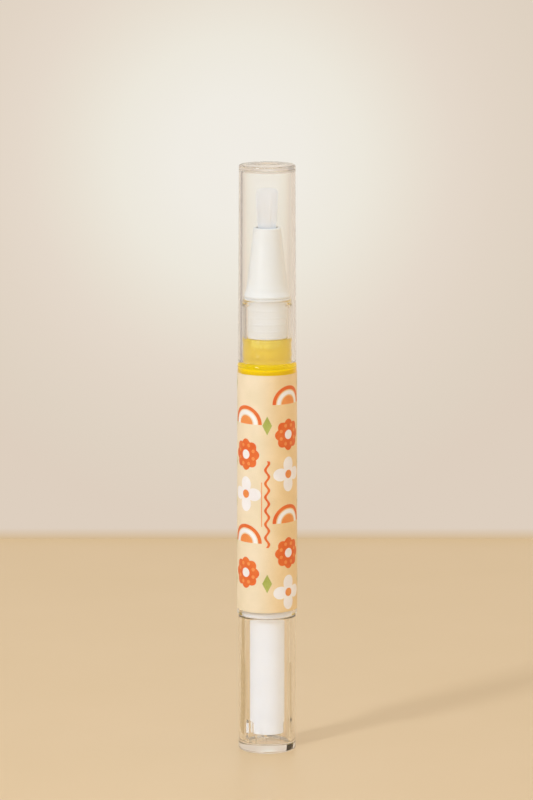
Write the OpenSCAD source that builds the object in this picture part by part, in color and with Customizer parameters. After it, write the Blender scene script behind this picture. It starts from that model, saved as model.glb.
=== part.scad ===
// Twist-up nail oil pen: a clear barrel with a brush under a frosted cap,
// and a clear tail knob that drives a piston along the barrel on a lead screw.
// The pen stands on its tail. The origin is the middle of its base, and +Z runs up the pen.

/* [Barrel] */
// Bore of the oil chamber
bore_d = 11.2; // [10.6:0.1:14]
// Wall of the barrel at its tail end
barrel_wall = 1.4; // [1.3:0.05:2.4]
// How much the barrel narrows from its tail to its shoulder, on the radius
barrel_draft = 0.12; // [0:0.02:0.3]
// Travel of the piston from full to empty
stroke = 33; // [24:1:45]
// Free space over the piston at the end of its travel
head_room = 3; // [1:0.5:6]
// Thickness of the shoulder between barrel and neck
shoulder_t = 1.3; // [0.9:0.1:2.5]

/* [Neck] */
// How far the bore of the neck lies inside the bore of the chamber
neck_step = 0.8; // [0.5:0.1:1]
// Wall of the neck
neck_wall = 0.85; // [0.6:0.05:1]
// Length of the neck above the shoulder
neck_len = 14.6; // [13:0.2:20]
// Height of the snap beads on the neck
neck_bead_h = 0.14; // [0.06:0.02:0.18]

/* [Label] */
// Thickness of the label film
label_t = 0.08; // [0.04:0.01:0.2]
// Bare barrel below the label
label_foot = 1.4; // [0.5:0.1:6]
// Bare barrel between the label and the shoulder
label_head = 2.4; // [1:0.1:8]

/* [Neck plug] */
// Length of the plug inside the neck
plug_len = 9; // [7.5:0.5:11]
// Diameter of the stem that dips into the oil
stem_d = 5.2; // [4:0.2:6.4]
// Length of that stem
stem_len = 2.2; // [1:0.2:3]
// Diameter of the hole that feeds oil to the brush
feed_hole_d = 1.6; // [1:0.1:2.4]

/* [Nozzle] */
// Length of the nozzle above its seat
nozzle_len = 16.2; // [13:0.2:24]
// Wall of the nozzle at its tip
nozzle_wall = 0.75; // [0.6:0.05:1.2]
// Length of the spigot that plugs into the neck plug
spigot_len = 6; // [4:0.2:6.8]

/* [Brush] */
// Diameter of the brush where it leaves the nozzle
brush_d = 4.8; // [4:0.1:5.2]
// Length of the brush outside the nozzle
brush_out = 9; // [6:0.2:14]
// Distance from one ring of strands to the next
strand_pitch = 0.18; // [0.17:0.005:0.185]
// Thickness of one strand, corner to corner
strand_w = 0.13; // [0.08:0.01:0.14]
// Outer diameter of the feed tube
tube_d = 1.1; // [0.8:0.1:1.4]
// Bore of the feed tube
tube_bore_d = 0.6; // [0.3:0.1:0.7]

/* [Cap] */
// Wall of the cap at its rim
cap_wall = 0.88; // [0.6:0.02:1.4]
// Thickness of the top of the cap
cap_top_t = 1.2; // [0.6:0.1:3]
// How much the cap narrows from rim to top, on the radius
cap_draft = 0.2; // [0:0.02:0.28]
// Free space over the brush inside the cap
cap_room = 4.4; // [2:0.2:10]

/* [Tail knob] */
// Wall of the knob
knob_wall = 1.55; // [1:0.05:2.2]
// Thickness of the floor of the knob
knob_floor = 2.1; // [1:0.1:5]
// Number of ribs that grip the drive sleeve
rib_count = 3; // [3:1:8]
// Height of the rib ledges that carry the drive sleeve
ledge_h = 1.9; // [1:0.1:4]
// Height of the ribs above their ledges
rib_h = 2.6; // [1:0.2:8]

/* [Drive] */
// Outer diameter of the lead screw
screw_d = 5.2; // [4.4:0.1:5.4]
// Depth of the thread
thread_depth = 0.6; // [0.3:0.05:0.7]
// Travel of the screw in one turn
screw_lead = 3; // [2:0.25:5]
// Distance across the drive flats of the screw
screw_flats = 3.8; // [3.2:0.1:4]
// Length of the screw still held by the sleeve when the pen is empty
drive_grip = 2.8; // [2:0.2:6]
// Length of thread in the guide nut
nut_len = 5; // [3:0.5:9]
// Number of clicks in one turn
ratchet_teeth = 12; // [8:1:18]

/* [Piston] */
// Length of the piston
piston_len = 9; // [8.4:0.2:14]

/* [Hidden] */
$fn = 96;
overrun = 1;          // how far a cutting shape runs past what it cuts
arc_steps = 5;        // straight steps in a quarter round

// Fits
glue_gap = 0.01;      // label to barrel
press_gap = 0.03;     // pieces pushed together by hand, on the radius
slide_gap = 0.05;     // piston, insert and ratchet fits, on the radius
run_gap = 0.2;        // turning pieces, on the radius and along the axis
thread_gap = 0.16;    // screw to nut and sleeve, on the radius

// Sleeve, ratchet and insert, from the bore inwards
bore_r = bore_d / 2;
barrel_r = bore_r + barrel_wall;
shoulder_r = barrel_r - barrel_draft;
insert_step = 0.35;   // step from the chamber's bore out to the insert's seat
seat_r = bore_r + insert_step;
insert_r = seat_r - slide_gap;
skirt_wall = 0.95;
skirt_r = insert_r - skirt_wall;
retain_h = 0.7;       // height of the bead that keeps the sleeve in the insert
retain_r = skirt_r - run_gap;
sleeve_r = retain_r - retain_h;
sleeve_step = 0.75;   // step from the sleeve down to its ratchet spigot
spigot_r = sleeve_r - sleeve_step;
spigot_flat = 0.35;   // depth of the flats on that spigot
ratchet_inset = 0.15; // crest of the teeth, inside the retaining bead
ratchet_tooth_h = 0.5;
ratchet_face_share = 0.1; // share of a tooth's pitch taken by its steep side
ratchet_tip_r = retain_r - ratchet_inset;
ratchet_root_r = ratchet_tip_r - ratchet_tooth_h;
pawl_gap = 0.1;       // pawl nose to tooth crest, with the pawl lifted
pawl_t = 0.5;         // thickness of the pawl arm
pawl_count = 2;
window_angle = 64;    // degrees of skirt cut away for one pawl
pawl_angle = 54;      // degrees of arm
nose_angle = 7;       // degrees of nose
window_gap = 0.3;     // slot above and below a pawl
screw_r = screw_d / 2;
screw_mean_r = screw_r - thread_depth / 2;

// Knob details
knob_step = 0.3;      // step from the barrel in to the knob
knob_r = barrel_r - knob_step;
knob_bore_r = knob_r - knob_wall;
knob_foot_round = 0.4;
knob_top_round = 0.3;
knob_mouth = 0.5;     // chamfer inside the mouth of the knob
rib_w = 0.8;
rib_slope = 1;        // height of the sloped top of a rib
ledge_reach = 0.75;   // how far a ledge reaches under the sleeve
rib_turn = 98;        // degrees from +X to the first rib

// Heights, from the base upwards
sleeve_foot = knob_floor + ledge_h;
screw_end_gap = 0.4;
screw_foot = sleeve_foot + screw_end_gap;
sleeve_top = screw_foot + stroke + drive_grip;
sleeve_head = 8;      // length of the sleeve above the knob
joint_gap = 0.3;      // groove between knob and barrel
knob_top = sleeve_top - sleeve_head;
tail_z = knob_top + joint_gap;
lip_h = 1.1;          // height of the insert's lip above the barrel's end
lip_top = tail_z + lip_h;
retain_foot = lip_top + run_gap;
retain_t = 1;
ratchet_h = 3.8;
ratchet_foot = sleeve_top - ratchet_h - run_gap;
web_foot = sleeve_top + 2 * run_gap;
insert_top = web_foot + nut_len;
piston_gap = 0.4;
piston_foot = insert_top + piston_gap;
piston_top = piston_foot + piston_len;
chamber_top = piston_top + stroke + head_room;
shoulder_z = chamber_top + shoulder_t;
neck_top = shoulder_z + neck_len;

// Barrel details
tail_chamfer = 0.3;
shoulder_round = 0.4;
neck_chamfer = 0.35;
neck_fillet = 0.25;
chamber_slope = 0.3;  // slope in the corner under the shoulder
snap_w = 1;           // width of the groove that keeps the insert
snap_depth = 0.2;
snap_down = 2.6;      // from the top of the insert down to the groove
snap_z = insert_top - snap_down;
lead_in_h = 0.4;      // depth of the counterbore at each end of the thread
key_reach = 0.6;      // how far a key stands out of the insert
key_w = 1.6;
key_h = 2;
neck_bead_w = 0.6;
neck_bead_rise = 1.8; // from the shoulder to the first bead
neck_bead_pitch = 3.3;
neck_bead_drop = 1.2; // from the top of the neck down to the last bead

// Neck and what sits in it
neck_bore_r = bore_r - neck_step;
neck_r = neck_bore_r + neck_wall;
plug_rib_h = 0.25;    // height of the plug's sealing ribs
plug_r = neck_bore_r - press_gap - plug_rib_h;
plug_flange_t = 0.5;
plug_flange_inset = 0.35;
plug_flange_r = neck_r - plug_flange_inset;
plug_foot = neck_top - plug_len;
plug_chamfer = 0.35;
plug_rib_w = 0.5;
plug_rib_pitch = 1.6;
plug_rib_count = 4;
plug_rib_up = 1.9;    // from the foot of the plug to its first rib
stem_r = stem_d / 2;
stem_foot = plug_foot - stem_len;
feed_hole_r = feed_hole_d / 2;
oil_gap = 0.02;       // oil to its walls

// Nozzle
brush_r = brush_d / 2;
brush_ledge = 0.65;   // ledge in the nozzle that stops the brush
chamber_r = brush_r + brush_ledge;
spigot_wall = 0.6;
nozzle_spigot_r = chamber_r + spigot_wall;
socket_r = nozzle_spigot_r + press_gap;
nozzle_foot = neck_top + plug_flange_t;
nozzle_tip = nozzle_foot + nozzle_len;
nozzle_tip_r = brush_r + nozzle_wall;
nozzle_rim_t = 0.5;   // straight rim of the nozzle's foot
nozzle_rim_inset = 0.3;
nozzle_rim_r = neck_r - nozzle_rim_inset;
nozzle_flare_h_share = 0.16;  // flared foot, as a share of the nozzle's length
nozzle_flare_r_share = 0.68;  // how much of the widening the straight cone makes
nozzle_lip_round = 0.25;
backing_t = 1.5;
brush_foot_share = 0.42;      // the brush's ledge, as a share of the nozzle's length
backing_top = nozzle_foot + brush_foot_share * nozzle_len;
backing_foot = backing_top - backing_t;
retainer_len = 4;
retainer_foot = backing_foot - retainer_len;
retainer_bevel = 0.4;

// Brush
brush_top = nozzle_tip + brush_out;
brush_spread_share = 0.18;    // widening of the bundle from its root to its top
brush_round = 0.7;            // how much shorter the outer strands are
strand_r = strand_w / 2;
strand_top_share = 0.75;      // thickness of a strand's end, as a share of its root
strand_root_r = brush_r / (1 + brush_spread_share / 2) - strand_w;
strand_side_share = 1.12;     // spacing along a ring, as a share of the pitch of the rings
strand_sink = 0.4;            // how deep the strands are set in their backing
tube_r = tube_d / 2;
tube_bore_r = tube_bore_d / 2;
tube_in = 5;                  // length of the tube below the brush's backing
tube_out = 4;                 // length of the tube above the nozzle's tip
tube_gap = 0.1;

// Cap
cap_gap = 0.22;
cap_bore_r = neck_r + cap_gap;
cap_r = cap_bore_r + cap_wall;
cap_bore_draft_share = 0.8;   // draft of the cap's inside, as a share of its outside's
cap_rest = 0.1;               // rim of the cap to the shoulder
cap_foot = shoulder_z + cap_rest;
cap_ceiling = brush_top + cap_room;
cap_top = cap_ceiling + cap_top_t;
cap_edge_round = 0.5;
cap_rim_round = 0.2;
cap_ceiling_round = 0.5;
gate_r = 3;                   // shallow moulding dimple in the top of the cap
gate_depth = 0.25;

// Label
label_foot_z = tail_z + label_foot;
label_top_z = shoulder_z - label_head;

// Piston
lip_len = 1.8;
piston_waist = 0.45;          // how far the waist lies inside the lips
piston_wall = 0.7;
piston_web_t = 1.2;
piston_bevel = 0.35;
screw_neck_r = 1.35;
screw_head_r = 1.9;
screw_neck_len = 1.2;
screw_head_len = 1.8;
socket_gap = 0.12;
piston_hub_wall = 1;
screw_top = piston_top - piston_web_t - socket_gap;
screw_neck_foot = screw_top - screw_head_len - screw_neck_len;

// Thread mesh
thread_sides = 16;
thread_rings_per_turn = 8;

// Colours
clear = [0.93, 0.94, 0.94, 0.45];
frosted = [0.94, 0.93, 0.90, 0.6];
white = [0.95, 0.95, 0.94];
oil_yellow = [0.93, 0.72, 0.05, 0.85];
peach = [0.97, 0.86, 0.68];
nylon = [0.93, 0.93, 0.92];

// Radius of the barrel's outside at a height
function barrel_r_at(z) =
    barrel_r - barrel_draft * (z - tail_z) / (shoulder_z - tail_z);

// Points of a round corner about a centre, from one angle to another
function arc(centre, r, from, to) =
    [for (i = [0:arc_steps])
        let (a = from + (to - from) * i / arc_steps)
        centre + r * [cos(a), sin(a)]];

// A small half-round bead on a shaft of radius r, as outline points from below
function bead(r, z, h, w) =
    [[r, z - w / 2], [r + h * 2 / 3, z - w / 4], [r + h, z], [r + h * 2 / 3, z + w / 4], [r, z + w / 2]];

// Ring between two radii and two heights
module ring(outer, inner, foot, top) {
    translate([0, 0, foot])
        difference() {
            cylinder(r = outer, h = top - foot);
            translate([0, 0, -overrun])
                cylinder(r = inner, h = top - foot + 2 * overrun);
        }
}

// Round bar with two flats, in the plane
module two_flats(r, half_flats) {
    intersection() {
        circle(r = r);
        square([2 * half_flats, 4 * r], center = true);
    }
}

// Closed threaded bar. flat is half the distance across its flats.
module thread(r, flat, foot, top) {
    rings = ceil((top - foot) / screw_lead * thread_rings_per_turn);
    side = 360 / thread_sides;
    points = [
        for (j = [0:rings])
            let (z = foot + (top - foot) * j / rings)
            for (i = [0:thread_sides - 1])
                let (a = (i + 0.5) * side,
                     rr = r + thread_depth / 2 * cos(a - 360 * z / screw_lead))
                [max(-flat, min(flat, rr * cos(a))), rr * sin(a), z]
    ];
    foot_mid = len(points);
    foot_fan = [for (i = [0:thread_sides - 1]) [foot_mid, i, (i + 1) % thread_sides]];
    last = rings * thread_sides;
    top_fan = [
        for (i = [0:thread_sides - 1])
            [foot_mid + 1, last + (i + 1) % thread_sides, last + i]
    ];
    walls = [
        for (j = [0:rings - 1])
            for (i = [0:thread_sides - 1])
                let (a = j * thread_sides + i,
                     b = j * thread_sides + (i + 1) % thread_sides)
                each [[a, a + thread_sides, b + thread_sides],
                      [a, b + thread_sides, b]]
    ];
    polyhedron(
        points = concat(points, [[0, 0, foot], [0, 0, top]]),
        faces = concat(foot_fan, walls, top_fan)
    );
}

// Clear tail knob: a thick-walled cup with ribs in its foot that grip the drive sleeve
module knob_shell() {
    ledge_r = sleeve_r - ledge_reach;
    grip_r = sleeve_r + press_gap;
    rib_root = knob_bore_r + knob_wall / 4;
    rib_top = sleeve_foot + rib_h;
    color(clear) {
        rotate_extrude()
            polygon(concat(
                [[0, 0]],
                arc([knob_r - knob_foot_round, knob_foot_round], knob_foot_round, -90, 0),
                arc([knob_r - knob_top_round, knob_top - knob_top_round], knob_top_round, 0, 90),
                [[knob_bore_r + knob_mouth, knob_top],
                 [knob_bore_r, knob_top - knob_mouth],
                 [knob_bore_r, knob_floor],
                 [0, knob_floor]]
            ));
        for (i = [0:rib_count - 1])
            rotate([90, 0, rib_turn + i * 360 / rib_count])
                translate([0, 0, -rib_w / 2])
                    linear_extrude(rib_w)
                        polygon([
                            [rib_root, knob_floor - knob_floor / 4],
                            [ledge_r, knob_floor - knob_floor / 4],
                            [ledge_r, sleeve_foot],
                            [grip_r, sleeve_foot],
                            [grip_r, rib_top],
                            [knob_bore_r, rib_top + rib_slope],
                            [rib_root, rib_top + rib_slope]
                        ]);
    }
}

// White drive sleeve: turns with the knob, and turns the screw by its flats
module drive_sleeve() {
    bevel = retain_t / 3;
    color(white)
        difference() {
            union() {
                rotate_extrude()
                    polygon([
                        [0, sleeve_foot],
                        [sleeve_r, sleeve_foot],
                        [sleeve_r, retain_foot],
                        [retain_r, retain_foot],
                        [retain_r, retain_foot + retain_t - bevel],
                        [retain_r - bevel, retain_foot + retain_t],
                        [sleeve_r, retain_foot + retain_t],
                        [sleeve_r, ratchet_foot],
                        [0, ratchet_foot]
                    ]);
                translate([0, 0, ratchet_foot])
                    linear_extrude(sleeve_top - ratchet_foot)
                        two_flats(spigot_r, spigot_r - spigot_flat);
            }
            translate([0, 0, sleeve_foot - overrun])
                linear_extrude(sleeve_top - sleeve_foot + 2 * overrun)
                    two_flats(screw_r + thread_gap, screw_flats / 2 + thread_gap);
        }
}

// Ratchet wheel: saw teeth that click past the insert's pawls, keyed to the sleeve's spigot
module ratchet_wheel() {
    step = 360 / ratchet_teeth;
    color(white)
        translate([0, 0, ratchet_foot])
            linear_extrude(ratchet_h)
                difference() {
                    polygon([
                        for (i = [0:ratchet_teeth - 1])
                            let (tip = i * step,
                                 root = (i + 1 - ratchet_face_share) * step)
                                each [
                                    ratchet_tip_r * [cos(tip), sin(tip)],
                                    ratchet_root_r * [cos(root), sin(root)]
                                ]
                    ]);
                    two_flats(spigot_r + slide_gap, spigot_r - spigot_flat + slide_gap);
                }
}

// Lead screw: thread with two drive flats, and a head that snaps into the piston
module lead_screw() {
    head_bevel = screw_head_len / 3;
    color(white) {
        thread(screw_mean_r, screw_flats / 2, screw_foot, screw_neck_foot);
        rotate_extrude()
            polygon([
                [0, screw_neck_foot - screw_neck_len],
                [screw_neck_r, screw_neck_foot - screw_neck_len],
                [screw_neck_r, screw_neck_foot + screw_neck_len],
                [screw_head_r, screw_neck_foot + screw_neck_len],
                [screw_head_r, screw_top - head_bevel],
                [screw_head_r - head_bevel, screw_top],
                [0, screw_top]
            ]);
    }
}

// Piston: a soft plug with a sealing lip at each end and a socket for the screw's head
module piston() {
    lip_r = bore_r - slide_gap;
    waist_r = lip_r - piston_waist;
    inner_r = waist_r - piston_wall;
    hub_r = screw_head_r + socket_gap + piston_hub_wall;
    web_foot_z = piston_top - piston_web_t;
    hub_foot = screw_neck_foot + socket_gap;
    head_foot = screw_neck_foot + screw_neck_len - socket_gap;
    color(white)
        rotate_extrude()
            polygon([
                [0, piston_top],
                [0, web_foot_z],
                [screw_head_r + socket_gap, web_foot_z],
                [screw_head_r + socket_gap, head_foot],
                [screw_neck_r + socket_gap, head_foot],
                [screw_neck_r + socket_gap, hub_foot],
                [hub_r, hub_foot],
                [hub_r, web_foot_z],
                [inner_r, web_foot_z],
                [inner_r, piston_foot + piston_bevel],
                [inner_r + piston_bevel, piston_foot],
                [lip_r, piston_foot],
                [lip_r, piston_foot + lip_len],
                [waist_r, piston_foot + lip_len + piston_waist],
                [waist_r, piston_top - lip_len - piston_waist],
                [lip_r, piston_top - lip_len],
                [lip_r, piston_top - piston_bevel],
                [lip_r - piston_bevel, piston_top]
            ]);
}

// Guide nut: the insert in the barrel's tail. It holds the thread, the ratchet pawls
// and the lip that keeps the sleeve in.
module guide_nut() {
    lip_r = sleeve_r + run_gap;
    pawl_foot = ratchet_foot + window_gap;
    pawl_top = ratchet_foot + ratchet_h - window_gap;
    nose_r = ratchet_tip_r + pawl_gap;
    arm_r = skirt_r + pawl_gap;
    lead_in = screw_r + 3 * thread_gap;
    color(white) {
        difference() {
            union() {
                cylinder_between(insert_r, tail_z, insert_top);
                rotate_extrude()
                    polygon(concat(
                        [[0, snap_z - snap_w]],
                        bead(insert_r, snap_z, snap_depth, snap_w),
                        [[0, snap_z + snap_w]]
                    ));
                keys(key_w, insert_r + key_reach, tail_z, tail_z + key_h);
            }
            cylinder_between(lip_r, tail_z - overrun, web_foot);
            cylinder_between(skirt_r, lip_top, web_foot);
            for (i = [0:pawl_count - 1])
                rotate(i * 360 / pawl_count)
                    translate([0, 0, pawl_foot - window_gap])
                        linear_extrude(pawl_top - pawl_foot + 2 * window_gap)
                            polygon(concat(arc([0, 0], insert_r + overrun, 0, window_angle),
                                           arc([0, 0], skirt_r - overrun, window_angle, 0)));
            thread(screw_mean_r + thread_gap, screw_d, web_foot - overrun, insert_top + overrun);
            translate([0, 0, web_foot - overrun])
                cylinder(r = lead_in, h = overrun + lead_in_h);
            translate([0, 0, insert_top - lead_in_h])
                cylinder(r = lead_in, h = overrun + lead_in_h);
        }
        for (i = [0:pawl_count - 1])
            rotate(i * 360 / pawl_count)
                translate([0, 0, pawl_foot])
                    linear_extrude(pawl_top - pawl_foot)
                        polygon(concat(arc([0, 0], arm_r + pawl_t, -nose_angle, pawl_angle),
                                       arc([0, 0], nose_r, pawl_angle, pawl_angle - nose_angle),
                                       arc([0, 0], arm_r, pawl_angle - nose_angle, -nose_angle)));
    }
}

module cylinder_between(r, foot, top) {
    translate([0, 0, foot])
        cylinder(r = r, h = top - foot);
}

// Keys at the tail end that stop the insert from turning, or the notches that take them
module keys(w, reach, foot, top) {
    intersection() {
        cylinder_between(reach, foot, top);
        translate([-2 * reach, -w / 2, foot])
            cube([4 * reach, w, top - foot]);
    }
}

// Clear barrel: oil chamber, shoulder and neck in one moulding
module barrel_tube() {
    fillet_centre = [neck_r + neck_fillet, shoulder_z + neck_fillet];
    bead_places = [shoulder_z + neck_bead_rise, shoulder_z + neck_bead_rise + neck_bead_pitch,
                   neck_top - neck_bead_drop];
    beads = [for (z = bead_places) each bead(neck_r, z, neck_bead_h, neck_bead_w)];
    color(clear)
        difference() {
            rotate_extrude()
                polygon(concat(
                    [[seat_r, tail_z],
                     [barrel_r - tail_chamfer, tail_z],
                     [barrel_r, tail_z + tail_chamfer]],
                    arc([shoulder_r - shoulder_round, shoulder_z - shoulder_round], shoulder_round, 0, 90),
                    [for (p = [arc_steps:-1:0]) let (a = 180 + 90 * p / arc_steps)
                        fillet_centre + neck_fillet * [cos(a), sin(a)]],
                    beads,
                    [[neck_r, neck_top - neck_chamfer],
                     [neck_r - neck_chamfer, neck_top],
                     [neck_bore_r, neck_top],
                     [neck_bore_r, chamber_top],
                     [bore_r - chamber_slope, chamber_top],
                     [bore_r, chamber_top - chamber_slope],
                     [bore_r, insert_top + piston_gap / 2],
                     [seat_r, insert_top + piston_gap / 2],
                     [seat_r, snap_z + snap_w / 2 + slide_gap],
                     [seat_r + snap_depth, snap_z + snap_w / 4 + slide_gap],
                     [seat_r + snap_depth, snap_z - snap_w / 4 - slide_gap],
                     [seat_r, snap_z - snap_w / 2 - slide_gap]]
                ));
            keys(key_w + 2 * slide_gap, insert_r + key_reach + slide_gap, tail_z - overrun,
                 tail_z + key_h + slide_gap);
        }
}

// Printed film wrapped round the barrel
module label_wrap() {
    foot_r = barrel_r_at(label_foot_z) + glue_gap;
    top_r = barrel_r_at(label_top_z) + glue_gap;
    color(peach)
        rotate_extrude()
            polygon([
                [foot_r, label_foot_z],
                [foot_r + label_t, label_foot_z],
                [top_r + label_t, label_top_z],
                [top_r, label_top_z]
            ]);
}

// The oil: fills the chamber over the piston, and the neck up to the plug
module oil_fill() {
    r = bore_r - oil_gap;
    neck_oil_r = neck_bore_r - oil_gap;
    color(oil_yellow)
        rotate_extrude()
            polygon([
                [0, piston_top + oil_gap],
                [r, piston_top + oil_gap],
                [r, chamber_top - chamber_slope - oil_gap],
                [r - chamber_slope, chamber_top - oil_gap],
                [neck_oil_r, chamber_top - oil_gap],
                [neck_oil_r, plug_foot - oil_gap],
                [stem_r + oil_gap, plug_foot - oil_gap],
                [stem_r + oil_gap, stem_foot - oil_gap],
                [0, stem_foot - oil_gap]
            ]);
}

// Neck plug: seals the neck with its ribs, meters the oil, and holds the nozzle
module neck_plug() {
    ribs = [for (i = [0:plug_rib_count - 1])
        each bead(plug_r, plug_foot + plug_rib_up + i * plug_rib_pitch, plug_rib_h, plug_rib_w)];
    socket_foot = nozzle_foot - spigot_len - run_gap;
    color(frosted)
        rotate_extrude()
            polygon(concat(
                [[feed_hole_r, stem_foot],
                 [stem_r - plug_chamfer, stem_foot],
                 [stem_r, stem_foot + plug_chamfer],
                 [stem_r, plug_foot],
                 [plug_r - plug_chamfer, plug_foot],
                 [plug_r, plug_foot + plug_chamfer]],
                ribs,
                [[plug_r, neck_top],
                 [plug_flange_r, neck_top],
                 [plug_flange_r, nozzle_foot],
                 [socket_r, nozzle_foot],
                 [socket_r, socket_foot],
                 [feed_hole_r, socket_foot]]
            ));
}

// Nozzle: the white cone that carries the brush, with a spigot down into the plug
module nozzle() {
    flare_top = nozzle_foot + nozzle_rim_t + nozzle_flare_h_share * nozzle_len;
    flare_r = nozzle_tip_r + nozzle_flare_r_share * (nozzle_rim_r - nozzle_tip_r);
    flare = [for (i = [0:arc_steps])
        let (a = 90 * i / arc_steps)
        [nozzle_rim_r - (nozzle_rim_r - flare_r) * sin(a),
         flare_top - (flare_top - nozzle_foot - nozzle_rim_t) * cos(a)]];
    color(white)
        rotate_extrude()
            polygon(concat(
                [[chamber_r, nozzle_foot - spigot_len],
                 [nozzle_spigot_r, nozzle_foot - spigot_len],
                 [nozzle_spigot_r, nozzle_foot + press_gap],
                 [nozzle_rim_r, nozzle_foot + press_gap]],
                flare,
                arc([nozzle_tip_r - nozzle_lip_round, nozzle_tip - nozzle_lip_round],
                    nozzle_lip_round, 0, 90),
                [[brush_r, nozzle_tip],
                 [brush_r, backing_top],
                 [chamber_r, backing_top]]
            ));
}

// Plug behind the brush that holds it up against the nozzle's ledge
module bristle_retainer() {
    r = chamber_r - slide_gap;
    color(white)
        rotate_extrude()
            polygon([
                [tube_r + slide_gap, retainer_foot],
                [r - retainer_bevel, retainer_foot],
                [r, retainer_foot + retainer_bevel],
                [r, backing_foot],
                [tube_r + slide_gap, backing_foot]
            ]);
}

// All strands as one body of closed four-sided bars that spread a little towards their ends
module strands() {
    first = tube_r + tube_gap + strand_r;
    ring_count = floor((strand_root_r - first) / strand_pitch);
    places = [
        for (k = [0:ring_count])
            let (r = first + k * strand_pitch,
                 n = floor(2 * PI * r / (strand_pitch * strand_side_share)))
            for (i = [0:n - 1])
                let (a = 360 * (i + k / 2) / n)
                [r, a]
    ];
    foot = backing_top - strand_sink;
    points = [
        for (p = places)
            let (share = p[0] / strand_root_r,
                 top = brush_top - brush_round * pow(share, 4))
            for (end = [0, 1])
                let (z = end == 0 ? foot : top,
                     r = p[0] * (1 + end * brush_spread_share),
                     w = strand_r * (end == 0 ? 1 : strand_top_share))
                for (c = [0:3])
                    let (b = p[1] + 90 * c)
                    [r * cos(p[1]) + w * cos(b), r * sin(p[1]) + w * sin(b), z]
    ];
    faces = [
        for (s = [0:len(places) - 1])
            let (o = 8 * s)
            each concat(
                [[o, o + 1, o + 2], [o, o + 2, o + 3],
                 [o + 4, o + 6, o + 5], [o + 4, o + 7, o + 6]],
                [for (c = [0:3]) each [
                    [o + c, o + 4 + c, o + 4 + (c + 1) % 4],
                    [o + c, o + 4 + (c + 1) % 4, o + (c + 1) % 4]]]
            )
    ];
    echo(strand_count = len(places));
    polyhedron(points = points, faces = faces);
}

// Brush: nylon strands fused into a backing disc that the feed tube passes through
module brush_bristles() {
    color(nylon)
        union() {
            ring(chamber_r - slide_gap, tube_r + slide_gap, backing_foot, backing_top - press_gap);
            strands();
        }
}

// Fine tube that carries oil from the plug into the middle of the brush
module feed_tube() {
    color(white)
        ring(tube_r, tube_bore_r, backing_foot - tube_in, nozzle_tip + tube_out);
}

// Frosted pull-off cap
module cap_shell() {
    top_r = cap_r - cap_draft;
    ceiling_r = cap_bore_r - cap_bore_draft_share * cap_draft;
    ceiling_arc = arc([ceiling_r - cap_ceiling_round, cap_ceiling - cap_ceiling_round],
                      cap_ceiling_round, 0, 90);
    color(frosted)
        rotate_extrude()
            polygon(concat(
                [[cap_bore_r, cap_foot],
                 [cap_r - cap_rim_round, cap_foot],
                 [cap_r, cap_foot + cap_rim_round]],
                arc([top_r - cap_edge_round, cap_top - cap_edge_round], cap_edge_round, 0, 90),
                [[gate_r, cap_top],
                 [gate_r - gate_depth, cap_top - gate_depth],
                 [0, cap_top - gate_depth],
                 [0, cap_ceiling]],
                [for (i = [arc_steps:-1:0]) ceiling_arc[i]]
            ));
}

knob_shell();
drive_sleeve();
ratchet_wheel();
lead_screw();
piston();
guide_nut();
barrel_tube();
label_wrap();
oil_fill();
neck_plug();
nozzle();
bristle_retainer();
brush_bristles();
feed_tube();
cap_shell();
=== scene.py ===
import math
import random

import bmesh
import bpy
from mathutils import Matrix, Vector


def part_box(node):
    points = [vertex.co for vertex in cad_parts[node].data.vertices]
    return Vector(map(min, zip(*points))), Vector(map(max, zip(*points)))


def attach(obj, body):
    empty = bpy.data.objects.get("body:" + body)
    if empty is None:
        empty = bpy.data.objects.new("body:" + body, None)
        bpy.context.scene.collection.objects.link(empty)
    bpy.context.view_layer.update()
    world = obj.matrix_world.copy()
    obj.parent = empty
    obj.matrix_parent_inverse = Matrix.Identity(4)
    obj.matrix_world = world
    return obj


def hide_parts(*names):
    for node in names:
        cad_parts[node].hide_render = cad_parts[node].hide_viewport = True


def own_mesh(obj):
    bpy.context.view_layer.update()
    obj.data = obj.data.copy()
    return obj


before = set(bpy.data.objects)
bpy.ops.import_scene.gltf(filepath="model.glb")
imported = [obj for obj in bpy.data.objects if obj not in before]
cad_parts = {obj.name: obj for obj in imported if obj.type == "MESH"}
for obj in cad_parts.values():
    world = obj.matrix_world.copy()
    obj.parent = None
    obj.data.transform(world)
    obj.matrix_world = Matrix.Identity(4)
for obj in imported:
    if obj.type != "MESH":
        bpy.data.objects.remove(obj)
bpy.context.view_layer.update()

# Tail knob
# A thick-walled cup of clear styrene, injection moulded, that the pen stands on and is
# twisted by. Three fins at its foot carry and grip the white drive sleeve.
mm = 0.001
knob_wall = 1.55 * mm
knob_floor = 2.1 * mm
foot_ring_r = 5.6 * mm
hollow_foot = 0.15 * mm
ledge_top = 4.0 * mm
rib_top = 6.6 * mm
rib_slope_top = 7.6 * mm
rib_width = 0.8 * mm
rib_count = 3
rib_turn = math.radians(98)
ledge_r = 3.3 * mm
rib_grip_r = 4.08 * mm
turn_steps = 240


def rounded(corners, steps=4):
    """Points of an outline from (radius, height) corners. A third number rounds that corner."""
    points = []
    for i, (r, z, *rounding) in enumerate(corners):
        here = Vector((r, z))
        if not rounding:
            points.append(here)
            continue
        back = (Vector(corners[i - 1][:2]) - here).normalized()
        on = (Vector(corners[(i + 1) % len(corners)][:2]) - here).normalized()
        half = back.angle(on) / 2
        centre = here + (back + on).normalized() * rounding[0] / math.sin(half)
        start = here + back * rounding[0] / math.tan(half) - centre
        end = here + on * rounding[0] / math.tan(half) - centre
        sweep = math.atan2(start.cross(end), start.dot(end))
        for k in range(steps + 1):
            points.append(centre + Matrix.Rotation(sweep * k / steps, 2) @ start)
    return points


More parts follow.
